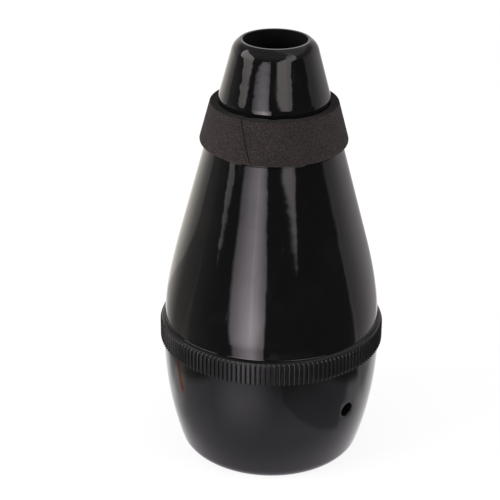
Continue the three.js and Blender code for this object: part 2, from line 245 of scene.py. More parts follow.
def levels(scene):
    """The sizes, and the places that the pieces share, which are worked out from them."""
    bowl, cone, collar = scene.mute_bowl, scene.mute_cone, scene.mute_collar
    at = SimpleNamespace(
        bowl=bowl, cone=cone, collar=collar,
        seal=scene.mute_seal, inner=scene.mute_inside, finish=scene.mute_finish,
    )
    at.collar_top = bowl.height + collar.height
    at.rim_top = at.collar_top + collar.rim_rise
    at.bowl_radius = collar.radius - collar.over_bowl
    at.shoulder = bowl.height - bowl.turn_gap
    at.groove_radius = at.bowl_radius - bowl.groove_depth
    at.flange_radius = at.groove_radius + bowl.flange_reach
    at.flange_bottom = bowl.height + collar.heel_thickness + bowl.turn_gap
    at.flange_top = at.flange_bottom + bowl.flange_thickness
    at.mouth_radius = at.groove_radius - bowl.mouth_wall
    at.foot_radius = collar.radius - collar.over_cone
    at.foot_bottom = at.collar_top - cone.foot_depth
    at.spigot_radius = at.foot_radius - cone.spigot_step
    at.spigot_bottom = at.flange_top + at.inner.gasket_thickness
    at.neck_height = at.collar_top + cone.length
    at.belly_top = at.collar_top + cone.belly_length
    at.belly_radius = at.foot_radius * cone.belly_radius_share
    at.slope = (at.belly_radius - cone.neck_radius) / (at.neck_height - at.belly_top)
    at.angle = math.atan(at.slope)
    return at


def on_cone(at, along, out):
    """A point of the straight cone: along is down the slope from the lip, out is square to it."""
    across, up = math.cos(at.angle), math.sin(at.angle)
    return at.cone.neck_radius + along * up + out * across, at.neck_height - along * across + out * up


def arc(centre, radius, start, end, steps):
    """Points along an arc of the profile plane, both ends included."""
    turns = [start + (end - start) * i / steps for i in range(steps + 1)]
    return [(centre[0] + radius * math.cos(a), centre[1] + radius * math.sin(a)) for a in turns]


def curve(start, knee, end, steps=28):
    """Points along a curve that leaves start and reaches end with the knee as its control point."""
    points = []
    for i in range(steps + 1):
        t = i / steps
        weights = ((1 - t) ** 2, 2 * t * (1 - t), t * t)
        points.append(tuple(sum(w * p[k] for w, p in zip(weights, (start, knee, end))) for k in (0, 1)))
    return points


def straight(start, end, steps):
    """Points along a straight line, both ends included."""
    return [
        (start[0] + (end[0] - start[0]) * i / steps, start[1] + (end[1] - start[1]) * i / steps)
        for i in range(steps + 1)
    ]


def bowl_edge_angle(at):
    """The knee of the side wall, and the angle at which the rounded base edge hands over to it."""
    bowl = at.bowl
    knee = (at.bowl_radius * bowl.knee_radius_share, bowl.height * bowl.knee_height_share)
    reach = (knee[0] - bowl.base_radius, knee[1] - bowl.edge_radius)
    return knee, math.atan2(reach[1], reach[0]) - math.acos(bowl.edge_radius / math.hypot(*reach))


def bowl_outside(at):
    """Outside of the bowl, from the flat base up to the shoulder."""
    bowl = at.bowl
    knee, turn = bowl_edge_angle(at)
    edge = arc((bowl.base_radius, bowl.edge_radius), bowl.edge_radius, -math.pi / 2, turn, 14)
    return edge + curve(edge[-1], knee, (at.bowl_radius, at.shoulder), 44)[1:]


def bowl_inside(at):
    """Inside of the bowl, from its mouth down to the flat floor."""
    bowl = at.bowl
    knee, turn = bowl_edge_angle(at)
    centre = (bowl.base_radius, bowl.edge_radius)
    edge = arc(centre, bowl.edge_radius - bowl.wall, turn, -math.pi / 2, 8)
    wall = curve((at.mouth_radius, at.flange_top), (at.mouth_radius, knee[1]), edge[0], 28)
    return wall + edge[1:]


# Mesh helpers


def outlined(bm, profile, closed):
    """The vertices of a profile in the XZ plane, and the edges that join them."""
    verts = [bm.verts.new((r, 0.0, z)) for r, z in profile]
    ends = verts[1:] + verts[:1] if closed else verts[1:]
    return verts, [bm.edges.new(pair) for pair in zip(verts, ends)]


def swept(bm, geom, angle, steps, merge=False, copies=False, lift=0.0):
    """Sweeps geometry about the Z axis, or sets copies of it round the axis."""
    bmesh.ops.spin(
        bm, geom=geom, cent=(0, 0, 0), axis=(0, 0, 1), dvec=(0, 0, lift),
        angle=angle, steps=steps, use_merge=merge, use_duplicate=copies,
    )


def turned(profile, steps=256):
    """A bmesh of the profile turned once round the Z axis. A profile off the axis is closed."""
    bm = bmesh.new()
    verts, edges = outlined(bm, profile, profile[0][0] > 0)
    swept(bm, verts + edges, 2 * math.pi, steps, merge=True)
    bmesh.ops.remove_doubles(bm, verts=bm.verts, dist=1e-7)
    bmesh.ops.recalc_face_normals(bm, faces=bm.faces)
    return bm


def linked(name, data):
    """An object of the scene that holds the data."""
    made = bpy.data.objects.new(name, data)
    bpy.context.scene.collection.objects.link(made)
    return made


def placed(bm, name):
    """Makes the bmesh an object at the origin."""
    mesh = bpy.data.meshes.new(name)
    bm.to_mesh(mesh)
    bm.free()
    return linked(name, mesh)


def shaded(bm, name, sharp=28.0):
    """Makes the bmesh an object that is smooth but for edges sharper than the angle."""
    if bm.calc_volume(signed=True) < 0:
        bmesh.ops.reverse_faces(bm, faces=bm.faces)
    limit = math.radians(sharp)
    for face in bm.faces:
        face.smooth = True
    for edge in bm.edges:
        edge.smooth = len(edge.link_faces) == 2 and edge.calc_face_angle(0.0) < limit
    return placed(bm, name)


def dress(made, material, slot, body, *nodes):
    """Gives a piece its material and its body, and hides the nodes that it stands for. The slot is not used.
    """
    made.data.materials.append(material)
    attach(made, body)
    if nodes:
        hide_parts(*nodes)


# Shader helpers


def feed(tree, socket, value):
    """Gives a socket its value: a link from a node, a socket or a level, and else the value itself."""
    if isinstance(value, Level):
        value = value.socket
    elif isinstance(value, bpy.types.Node):
        value = value.outputs[0]
    if isinstance(value, bpy.types.NodeSocket):
        tree.links.new(value, socket)
    elif socket.type == "RGBA":
        socket.default_value = (*value[:3], 1.0)
    else:
        socket.default_value = value


def add(tree, kind, sockets=(), **settings):
    """Adds a shader node with its own settings, and feeds its sockets, which go by name or number."""
    node = tree.nodes.new("ShaderNode" + kind)
    column, row = divmod(len(tree.nodes), 6)
    node.location = (220 * column, -240 * row)
    for key, value in settings.items():
        setattr(node, key, value)
    for key, value in dict(sockets).items():
        feed(tree, node.inputs[key], value)
    return node


class Level:
    """A number that a shader works out. Sums with other levels or numbers add maths nodes to its tree."""

    def __init__(self, tree, socket):
        self.tree = tree
        self.socket = socket

    def __add__(self, other):
        return maths(self.tree, "ADD", self, other)

    def __sub__(self, other):
        return maths(self.tree, "SUBTRACT", self, other)

    def __rsub__(self, other):
        return maths(self.tree, "SUBTRACT", other, self)

    def __mul__(self, other):
        return maths(self.tree, "MULTIPLY", self, other)

    def __abs__(self):
        return maths(self.tree, "ABSOLUTE", self)

    def at_most(self, other):
        return maths(self.tree, "MINIMUM", self, other)

    def over(self, start):
        """How far this is over start, and 0 under it."""
        return maths(self.tree, "MAXIMUM", self - start, 0.0)

    def ramp(self, start, end, low=0.0, high=1.0, way="SMOOTHSTEP"):
        """A soft step from low, where this is under start, to high, where it is over end."""
        limits = {"Value": self, "From Min": start, "From Max": end, "To Min": low, "To Max": high}
        node = add(self.tree, "MapRange", limits, interpolation_type=way)
        return Level(self.tree, node.outputs[0])

    def line(self, low, high, start=0.0, end=1.0):
        """An even slope from low, where this is start or less, to high, where it is end or more."""
        return self.ramp(start, end, low, high, "LINEAR")


def maths(tree, operation, *values):
    """The result of a maths node on levels, sockets or numbers."""
    node = add(tree, "Math", dict(enumerate(values)), operation=operation)
    return Level(tree, node.outputs[0])


def vector_maths(tree, operation, *values, **named):
    """The result of a vector maths node."""
    node = add(tree, "VectorMath", {**dict(enumerate(values)), **named}, operation=operation)
    return node.outputs["Value" if operation in ("DOT_PRODUCT", "LENGTH", "DISTANCE") else "Vector"]


def split(tree, vector):
    """The three parts of a vector, as levels."""
    return [Level(tree, part) for part in add(tree, "SeparateXYZ", {0: vector}).outputs]


def mixed(tree, factor, first, second):
    """Mixes two colours."""
    return add(tree, "Mix", {0: factor, 6: first, 7: second}, data_type="RGBA").outputs[2]


def noise(tree, position, scale, detail, **others):
    """A noise as a level."""
    sockets = {"Vector": position, "Scale": scale, "Detail": detail, **others}
    return Level(tree, add(tree, "TexNoise", sockets).outputs[0])


def shader_group(outputs, kind="NodeSocketFloat", **inputs):
    """Makes a function that fills a tree give the shader node group of its name, which is built once.

    The inputs are given with their defaults, and None stands for a vector.
    """

    def wrap(fill):
        def group():
            tree = bpy.data.node_groups.get(fill.__name__)
            if tree:
                return tree
            tree = bpy.data.node_groups.new(fill.__name__, "ShaderNodeTree")
            for label, default in inputs.items():
                given = "NodeSocketVector" if default is None else "NodeSocketFloat"
                socket = tree.interface.new_socket(
                    name=label.replace("_", " "), in_out="INPUT", socket_type=given
                )
                if default is not None:
                    socket.default_value = default
            for label in outputs:
                tree.interface.new_socket(name=label, in_out="OUTPUT", socket_type=kind)
            ins, outs = tree.nodes.new("NodeGroupInput"), tree.nodes.new("NodeGroupOutput")
            sockets = [socket for socket, _ in zip(ins.outputs, inputs)]
            for label, result in zip(outputs, fill(tree, *sockets)):
                feed(tree, outs.inputs[label], result)
            return tree

        return group

    return wrap


def grouped(tree, group, **values):
    """Places a group in a tree with its own values, and gives its outputs by name, as levels."""
    sockets = {key.replace("_", " "): value for key, value in values.items()}
    node = add(tree, "Group", sockets, node_tree=group())
    return {socket.name: Level(tree, socket) for socket in node.outputs}


@shader_group(("Mask",), Position=None, Cell_Scale=300.0, Speck_Size=0.08, Amount=0.1)
def scattered_specks(tree, position, cell_scale, speck_size, amount):
    """A few small round specks in a field of cells."""
    cells = add(tree, "TexVoronoi", {"Vector": position, "Scale": cell_scale, "Randomness": 1.0})
    picked = add(tree, "SeparateColor", {0: cells.outputs["Color"]})
    chosen = maths(tree, "LESS_THAN", picked.outputs[0], amount)
    return [maths(tree, "LESS_THAN", cells.outputs["Distance"], speck_size) * chosen]


@shader_group(
    ("Height", "Smear", "Scratch"), Position=None,
    Wave_Scale=60.0, Ripple_Scale=260.0, Ripple_Share=0.3, Smear_Scale=55.0, Scratch_Scale=420.0,
)
def moulded_skin(tree, position, wave_scale, ripple_scale, ripple_share, smear_scale, scratch_scale):
    """The slow waviness of a moulded wall, its finger smears and its hairline scratches."""
    wave = noise(tree, position, wave_scale, 1.0, Roughness=0.4)
    ripple = noise(tree, position, ripple_scale, 1.0, Roughness=0.5)
    smear = noise(tree, position, smear_scale, 3.0, Roughness=0.55, Distortion=0.6)
    # Scratches run down the wall, because the pattern is squeezed along the axis
    squeezed = vector_maths(tree, "MULTIPLY", position, (1.0, 1.0, 0.05))
    scratch = noise(tree, squeezed, scratch_scale, 2.0, Roughness=0.5)
    return [ripple * ripple_share + wave, smear.ramp(0.48, 0.75), scratch.ramp(0.63, 0.72)]


@shader_group(("Height", "Speckle", "Cloud"), Position=None, Cell_Scale=1800.0)
def foam_cells(tree, position, cell_scale):
    """The fine cell structure of foam, as a height, a colour mask and slow clouds."""
    sockets = {"Vector": position, "Scale": cell_scale, "Smoothness": 0.5}
    cells = add(tree, "TexVoronoi", sockets, feature="SMOOTH_F1")
    grain = noise(tree, position, Level(tree, cell_scale) * 1.5, 4.0, Roughness=0.75)
    return [cells.outputs["Distance"], grain.ramp(0.38, 0.64), noise(tree, position, 160.0, 2.0)]


def new_material(name):
    """A material with its Principled shader and its Object coordinates."""
    material = bpy.data.materials.new(name)
    material.use_nodes = True
    tree = material.node_tree
    return material, tree, add(tree, "TexCoord").outputs["Object"]


def finished(material, height, strength, depth, **values):
    """Feeds the material's Principled shader, and gives it the bump of a height."""
    tree = material.node_tree
    shader = tree.nodes["Principled BSDF"]
    sockets = {"Strength": strength, "Distance": depth, "Height": height}
    values["Normal"] = add(tree, "Bump", sockets)
    for key, value in values.items():
        feed(tree, shader.inputs[key.replace("_", " ")], value)
    return material


def inward(tree, position):
    """1 where a wall faces the axis, and 0 where it faces outwards."""
    outwards = vector_maths(tree, "NORMALIZE", vector_maths(tree, "MULTIPLY", position, (1.0, 1.0, 0.0)))
    normal = add(tree, "NewGeometry").outputs["True Normal"]
    facing = Level(tree, vector_maths(tree, "DOT_PRODUCT", outwards, normal))
    return facing.line(0.0, 1.0, -0.45, -0.65)


def facing_up(tree, start, end):
    """1 where a face looks up, and 0 where it stands or looks down."""
    normal = add(tree, "NewGeometry").outputs["True Normal"]
    return split(tree, normal)[2].line(0.0, 1.0, start, end)


# The heights between which the ripple of the belly becomes that of the neck
NECK_START, NECK_END = 0.138, 0.150


def polished_plastic(finish, name, roughness, wave, ripple, neck_ripple):
    """Polished black plastic outside, wavy and lightly worn, and plainer plastic inside."""
    material, tree, position = new_material(name)
    share_here = split(tree, position)[2].line(ripple, neck_ripple, NECK_START, NECK_END)
    skin = grouped(tree, moulded_skin, Position=position, Ripple_Share=share_here)
    specks = grouped(
        tree, scattered_specks, Position=position, Cell_Scale=150.0, Speck_Size=0.035, Amount=0.12
    )
    inner = inward(tree, position)
    walls = mixed(tree, inner, finish.shell, finish.shell_inside)
    hazed = mixed(tree, skin["Smear"].line(0.0, 0.007), walls, finish.dust)
    worn = skin["Smear"].line(roughness, roughness * 1.8) + skin["Scratch"] * 0.10
    return finished(
        material, skin["Height"], 1.0, wave,
        Base_Color=mixed(tree, specks["Mask"], hazed, finish.dust),
        Roughness=(worn + specks["Mask"] * 0.5 + inner * 0.95).at_most(1.0),
        Specular_IOR_Level=inner.line(0.5, 0.15),
        IOR=1.5,
    )


def satin_plastic(finish, name, colour, roughness):
    """Satin black plastic with a fine grain and dust in it, smoother on faces that look up, where painted
    shade darkens the colour.
    """
    material, tree, position = new_material(name)
    skin = grouped(tree, moulded_skin, Position=position, Wave_Scale=900.0, Smear_Scale=120.0)
    specks = grouped(
        tree, scattered_specks, Position=position, Cell_Scale=500.0, Speck_Size=0.06, Amount=0.06
    )
    level = facing_up(tree, 0.45, 0.9)
    # Painted shade: faces that look up get 0.4 of the colour
    plastic = mixed(tree, level, colour, [c * 0.4 for c in colour])
    return finished(
        material, skin["Height"], 0.5, 0.00002,
        Base_Color=mixed(tree, specks["Mask"], plastic, finish.dust),
        Roughness=skin["Smear"].line(roughness, roughness * 1.3) * level.line(1.0, 0.45),
        IOR=1.48,
    )


def foam(name, colour, cell_scale, depth, sheen=0.0):
    """Matt foam: fine cells, a light speckle, soft clouds of colour and painted shade on faces that look up.
    """
    material, tree, position = new_material(name)
    cells = grouped(tree, foam_cells, Position=position, Cell_Scale=cell_scale)
    speckled = mixed(tree, cells["Speckle"], [c * 0.5 for c in colour], [c * 1.75 for c in colour])
    # Faces that look up are darkened by painted shade, and the clouds vary the tone
    shade = cells["Cloud"].line(0.78, 1.22) * facing_up(tree, 0.6, 0.85).line(1.0, 0.45)
    return finished(
        material, cells["Height"], 0.8, depth,
        Base_Color=vector_maths(tree, "SCALE", speckled, Scale=shade),
        Roughness=cells["Speckle"].line(0.9, 1.0),
        IOR=1.35,
        Specular_IOR_Level=0.2,
        Sheen_Weight=sheen,
        Sheen_Roughness=0.6,
    )


# Pieces


# Chamfer round the vent, half the width of the patch that gives way to it as a share of its radius,
# and how near to a wall a vertex counts as lying on it
VENT_CHAMFER = 0.00025
VENT_PATCH = 1.55
ON_WALL = 0.0006


class MUTE_OT_bowl(bpy.types.Operator):
    """Makes the bowl, with its vent hole"""

    bl_idname = "mute.bowl"
    bl_label = "Bowl"

    def execute(self, context):
        at = levels(context.scene)
        bowl = at.bowl
        outside = bowl_outside(at)
        profile = [
            *straight((0.0, 0.0), outside[0], 6)[:-1],
            *outside,
            (at.groove_radius, at.shoulder),
            (at.groove_radius, at.flange_bottom),
            (at.flange_radius, at.flange_bottom),
            (at.flange_radius, at.flange_top - bowl.flange_chamfer),
            (at.flange_radius - bowl.flange_chamfer, at.flange_top),
            *bowl_inside(at),
            (0.0, bowl.wall),
        ]
        bm = turned(profile)
        self.pierce(bm, at)
        made = shaded(bm, "bowl_shell")
        material = polished_plastic(
            at.finish, "polished black plastic, bowl",
            roughness=0.07, wave=0.00006, ripple=0.12, neck_ripple=0.12,
        )
        dress(made, material, "gloss_shell", "bowl", "lower_bowl")
        return {"FINISHED"}

    def pierce(self, bm, at):
        """Opens the vent: a patch of both walls gives way to a ring, and a tube joins the two rings."""
        bowl = at.bowl
        height = bowl.height * bowl.vent_height_share
        outside, inside = bowl_outside(at), bowl_inside(at)[::-1]
        out_radius, normal = place_on(outside, height)
        wall = out_radius - place_on(inside, height)[0]
        in_height = height - wall * normal[1] / normal[0]
        rim = open_ring(bm, outside, bowl.vent_azimuth, height, bowl.vent_radius + VENT_CHAMFER)
        back = open_ring(bm, inside, bowl.vent_azimuth, in_height, bowl.vent_radius)
        bmesh.ops.bridge_loops(bm, edges=rim + back)
        bmesh.ops.recalc_face_normals(bm, faces=bm.faces)
        rim = [e for e in rim if e.is_valid]
        bmesh.ops.bevel(
            bm, geom=rim, offset=VENT_CHAMFER, segments=3, profile=0.5, affect="EDGES", material=-1
        )


def place_on(walls, height):
    """The radius of a wall at a height, and the direction square to it there."""
    for low, high in zip(walls, walls[1:]):
        if min(low[1], high[1]) <= height <= max(low[1], high[1]) and low[1] != high[1]:
            t = (height - low[1]) / (high[1] - low[1])
            run = Vector((high[1] - low[1], low[0] - high[0])).normalized()
            return low[0] + (high[0] - low[0]) * t, run
    raise RuntimeError("the vent lies outside the wall")


def open_ring(bm, walls, azimuth, height, radius):
    """Cuts a patch out of one wall and closes it down to a ring of edges that lies on the wall."""
    middle = place_on(walls, height)[0]
    reach = radius * VENT_PATCH

    def in_patch(vert):
        turn = math.atan2(vert.co.y, vert.co.x) - azimuth
        across = ((turn + math.pi) % (2 * math.pi) - math.pi) * middle
        if abs(across) >= reach or abs(vert.co.z - height) >= reach:
            return False
        return abs(math.hypot(vert.co.x, vert.co.y) - place_on(walls, vert.co.z)[0]) < ON_WALL

    patch = [face for face in bm.faces if all(in_patch(vert) for vert in face.verts)]
    if not patch:
        raise RuntimeError("no wall was found for the vent")
    edges = {e for face in patch for e in face.edges}
    border = [e for e in edges if sum(face in patch for face in e.link_faces) == 1]
    bmesh.ops.delete(bm, geom=patch, context="FACES")
    ring = bmesh.ops.create_circle(bm, cap_ends=False, segments=len(border), radius=radius)["verts"]
    for vert in ring:
        turn, z = azimuth + vert.co.x / middle, height + vert.co.y
        r = place_on(walls, z)[0]
        vert.co = (r * math.cos(turn), r * math.sin(turn), z)
    edges = list({e for v in ring for e in v.link_edges})
    border = [e for e in border if e.is_valid]
    bmesh.ops.bridge_loops(bm, edges=border + edges)
    return edges


# The fillet over the edge of the cone's foot, outwards and upwards in shares of its flare, and the
# short upright under it
FOOT_FILLET = ((1.0, 0.3), (0.45, 1.1), (0.12, 2.1), (0.0, 3.2))
FOOT_NICK = 0.0001
# How deep the thread is rooted in the spigot, half its foot as a share of the pitch, its tip as a
# share of its foot, and its sections in one turn
THREAD_ROOT = 0.0002
THREAD_FOOT = 0.2
THREAD_TIP = 0.35
THREAD_SECTIONS = 160


class MUTE_OT_cone(bpy.types.Operator):
    """Makes the cone and the thread on its spigot"""

    bl_idname = "mute.cone"
    bl_label = "Cone"

    def execute(self, context):
        at = levels(context.scene)
        cone = at.cone
        material = polished_plastic(
            at.finish, "polished black plastic, cone",
            roughness=0.05, wave=0.00018, ripple=0.1, neck_ripple=0.19,
        )
        profile = [
            (at.spigot_radius - cone.spigot_chamfer, at.spigot_bottom),
            (at.spigot_radius, at.spigot_bottom + cone.spigot_chamfer),
            (at.spigot_radius, at.foot_bottom),
            (at.foot_radius, at.foot_bottom),
            (at.foot_radius, at.rim_top - FOOT_NICK),
            (at.foot_radius + cone.foot_flare, at.rim_top),
            *self.outside(at),
            *self.inside(at),
        ]
        made = shaded(turned(profile), "cone_shell")
        dress(made, material, "gloss_shell", "cone", "upper_cone")
        thread = shaded(self.thread(at), "cone_thread")
        dress(thread, material, "gloss_shell", "cone")
        return {"FINISHED"}

    def outside(self, at):
        """The belly, the slope with the strip's seat, the rounded lip and the land inside it."""
        cone = at.cone
        knee = (
            at.belly_radius + cone.belly_length * cone.belly_knee_share * at.slope,
            at.belly_top - cone.belly_length * cone.belly_knee_share,
        )
        belly = curve((at.foot_radius, at.collar_top), knee, (at.belly_radius, at.belly_top), 40)
        lean = (knee[0] - at.foot_radius) / (knee[1] - at.collar_top)
        foot = []
        for out, up in FOOT_FILLET:
            rise = at.rim_top - at.collar_top + cone.foot_flare * up
            foot.append((at.foot_radius + cone.foot_flare * out + lean * rise, at.collar_top + rise))
        belly = foot + [point for point in belly if point[1] > foot[-1][1] + 2 * FOOT_NICK]
        seat = self.seat(at)
        side = straight(belly[-1], seat[0], 36)
        centre = on_cone(at, 0.0, -cone.lip_radius)
        rim = cone.opening_radius + cone.land_edge + cone.land_width
        end = math.acos((rim - centre[0]) / cone.lip_radius)
        lip = arc(centre, cone.lip_radius, at.angle, end, 20)
        tilt = math.pi / 2 + cone.land_slope
        small = cone.land_edge
        outer = (lip[-1][0] - small * math.cos(end), lip[-1][1] - small * math.sin(end))
        shift = (cone.land_width * math.sin(tilt), cone.land_width * math.cos(tilt))
        inner = (outer[0] - shift[0], outer[1] + shift[1])
        edge = arc(outer, small, end, tilt, 4) + arc(inner, small, tilt, math.pi, 5)
        return belly + side[1:] + seat[1:] + straight(seat[-1], lip[0], 16)[1:] + lip[1:] + edge[1:]

    def seat(self, at):
        """The shallow seat that the strip is glued in, from its lower end up to its rounded shoulder."""
        seal = at.seal
        end = seal.drop + seal.width + seal.seat_margin
        turn = math.acos(1 - seal.seat_depth / seal.shoulder_radius)
        start = seal.drop - seal.seat_margin - seal.shoulder_radius * math.sin(turn)
        centre = on_cone(at, start, -seal.shoulder_radius)
        shoulder = arc(centre, seal.shoulder_radius, at.angle - turn, at.angle, 14)
        low, high = on_cone(at, end, 0.0), on_cone(at, end, -seal.seat_depth)
        return [low, *straight(high, shoulder[0], 12), *shoulder[1:]]

    def inside(self, at):
        """The straight bore, and the wall's inside down to the end of the spigot."""
        cone, wall = at.cone, at.bowl.wall
        lip_top = on_cone(at, 0.0, -cone.lip_radius)[1] + cone.lip_radius
        bore = [(cone.opening_radius, lip_top - cone.bore_depth), on_cone(at, cone.bore_depth, -wall)]
        across = at.belly_radius - wall / math.cos(at.angle)
        knee = (at.mouth_radius, at.belly_top - (at.mouth_radius - across) / at.slope)
        belly = curve((across, at.belly_top), knee, (at.mouth_radius, at.spigot_bottom), 24)
        return bore + belly

    def thread(self, at):
        """A right-hand ridge wound round the spigot."""
        cone = at.cone
        bm = bmesh.new()
        half = cone.thread_pitch * THREAD_FOOT
        low = at.spigot_bottom + 2 * half
        root, crest = at.spigot_radius - THREAD_ROOT, at.spigot_radius + cone.thread_height
        turns = (at.foot_bottom - at.spigot_bottom - 4 * half) / cone.thread_pitch
        tip = half * THREAD_TIP
        section = [(root, low - half), (crest, low - tip), (crest, low + tip), (root, low + half)]
        start = bm.faces.new(outlined(bm, section, True)[0])
        steps = max(int(THREAD_SECTIONS * turns), 24)
        swept(bm, [start], 2 * math.pi * turns, steps, lift=cone.thread_pitch * turns / steps)
        bmesh.ops.recalc_face_normals(bm, faces=bm.faces)
        return bm


# The hairline between the cone's foot and the collar's rim
FOOT_GAP = 0.00008
# Height over which the lower end of a rib rounds off, and its height at the very end as a share
RIB_FOOT = 0.0002
RIB_FOOT_SHARE = 0.75
# Where the even part of a rib starts, the step under the plain rim, and the broken edge inside it
RIB_START = 0.0007
RIM_STEP = 0.00005
RIM_EDGE = 0.00012
# How close two radii are when they count as one
SAME_PLACE = 0.00001
# Where the columns of one rib's pitch lie, and how high the rib is there
RIB_PLACES = (0.0, 0.26, 0.34, 0.41, 0.5, 0.59, 0.66, 0.74, 1.0)
RIB_HEIGHTS = (0.0, 0.0, 0.42, 0.86, 1.0, 0.86, 0.42, 0.0, 0.0)


class MUTE_OT_collar(bpy.types.Operator):
    """Makes the ribbed collar"""

    bl_idname = "mute.collar"
    bl_label = "Collar"

    def execute(self, context):
        at = levels(context.scene)
        bowl, collar = at.bowl, at.collar
        gap = bowl.turn_gap
        mouth = at.foot_radius + at.cone.foot_flare + FOOT_GAP
        rib_top = at.collar_top - collar.rim_depth
        crest_top = rib_top - collar.rib_run_out
        wall = collar.radius - collar.rib_depth
        valley = wall - collar.rib_recess
        edge = (wall - collar.edge_radius, at.collar_top - collar.edge_radius)
        slope = math.atan2(collar.rim_rise, wall - mouth)
        profile = [
            (at.groove_radius + gap, bowl.height),
            (valley - RIB_FOOT, bowl.height),
            (valley, bowl.height + RIB_FOOT / 2),
            (valley, bowl.height + RIB_FOOT),
            *straight((valley, bowl.height + RIB_START), (valley, crest_top), 3),
            *straight((valley, crest_top), (valley, rib_top), 5)[1:],
            (wall, rib_top + RIM_STEP),
            *arc(edge, collar.edge_radius, 0.0, math.pi / 2 - slope, 5),
            (mouth + 2 * RIM_STEP, at.rim_top - RIM_STEP),
            (mouth, at.rim_top - RIM_EDGE),
            (mouth, at.collar_top - collar.mouth_depth),
            (at.spigot_radius + gap, at.collar_top - collar.mouth_depth),
            (at.spigot_radius + gap, bowl.height + collar.heel_thickness),
            (at.groove_radius + gap, bowl.height + collar.heel_thickness),
        ]
        bm = self.one_rib(profile, at, valley, crest_top, rib_top)
        pitch = 2 * math.pi / collar.rib_count
        rib = bm.verts[:] + bm.edges[:] + bm.faces[:]
        swept(bm, rib, 2 * math.pi - pitch, collar.rib_count - 1, copies=True)
        bmesh.ops.remove_doubles(bm, verts=bm.verts, dist=2e-6)
        bmesh.ops.recalc_face_normals(bm, faces=bm.faces)
        made = shaded(bm, "collar_ring", sharp=36.0)
        material = satin_plastic(at.finish, "satin black plastic, collar", at.finish.collar, roughness=0.31)
        dress(made, material, "satin_plastic", "collar", "grip_collar")
        return {"FINISHED"}

    def one_rib(self, profile, at, valley, crest_top, rib_top):
        """The collar over one pitch, from the middle of one valley to the middle of the next."""
        collar = at.collar
        pitch = 2 * math.pi / collar.rib_count
        last = len(RIB_PLACES) - 1
        bm = bmesh.new()
        verts, edges = outlined(bm, profile, True)
        swept(bm, verts + edges, pitch, last)
        for vert in bm.verts:
            radius = math.hypot(vert.co.x, vert.co.y)
            column = round(math.atan2(vert.co.y, vert.co.x) / pitch * last)
            if abs(radius - valley) < SAME_PLACE:
                up = max(0.0, (vert.co.z - crest_top) / (rib_top - crest_top))
                foot = min(1.0, (vert.co.z - at.bowl.height) / RIB_FOOT)
                rounding = RIB_FOOT_SHARE + (1 - RIB_FOOT_SHARE) * foot
                rise = collar.rib_recess + collar.rib_depth * (1 - up**1.6) * rounding
                radius += rise * RIB_HEIGHTS[column]
            turn = RIB_PLACES[column] * pitch
            vert.co.x, vert.co.y = radius * math.cos(turn), radius * math.sin(turn)
        return bm


# The share of a turn by which the strip's sweep stops short, so that its two ends stay apart
SHORT_OF_TURN = 1e-4


class MUTE_OT_seal(bpy.types.Operator):
    """Makes the foam strip, with its slanted slit"""

    bl_idname = "mute.seal"
    bl_label = "Foam seal"

    def execute(self, context):
        at = levels(context.scene)
        seal = at.seal
        bm = bmesh.new()
        start = bm.faces.new(outlined(bm, self.section(at), True)[0])
        swept(bm, [start], 2 * math.pi * (1 - SHORT_OF_TURN), 320)
        bmesh.ops.recalc_face_normals(bm, faces=bm.faces)
        top = on_cone(at, seal.drop, 0.0)[1]
        bottom = on_cone(at, seal.drop + seal.width, 0.0)[1]
        for vert in bm.verts:
            radius = math.hypot(vert.co.x, vert.co.y)
            turn = (math.atan2(vert.co.y, vert.co.x) / (2 * math.pi) + SHORT_OF_TURN / 10) % 1.0
            share_down = (top - vert.co.z) / (top - bottom)
            seam = seal.seam_top + (seal.seam_bottom - seal.seam_top) * share_down
            half = seal.seam_gap / 2 / radius
            azimuth = seam + half + turn * (2 * math.pi - 2 * half)
            vert.co.x, vert.co.y = radius * math.cos(azimuth), radius * math.sin(azimuth)
        made = shaded(bm, "seal_strip", sharp=50.0)
        material = foam(
            "closed-cell foam, seal", at.finish.seal, cell_scale=1500.0, depth=0.00012, sheen=0.04
        )
        dress(made, material, "seal_foam", "cone", "neck_seal")
        return {"FINISHED"}

    def section(self, at):
        """The strip's section: square against its seat, rounded outside."""
        seal = at.seal
        end = seal.drop + seal.width
        inner = seal.bond_gap - seal.seat_depth
        low = on_cone(at, end - seal.bottom_radius, seal.proud - seal.bottom_radius)
        high = on_cone(at, seal.drop + seal.top_radius, seal.proud - seal.top_radius)
        lower = arc(low, seal.bottom_radius, at.angle - math.pi / 2, at.angle, 8)
        upper = arc(high, seal.top_radius, at.angle, at.angle + math.pi / 2, 6)
        inner_low = on_cone(at, end, inner)
        inner_high = on_cone(at, seal.drop - seal.top_rise, inner)
        side = straight(lower[-1], upper[0], 14)[1:-1]
        bottom, top = straight(inner_low, lower[0], 3), straight(upper[-1], inner_high, 3)
        return [*bottom[:-1], *lower, *side, *upper, *top[1:]]


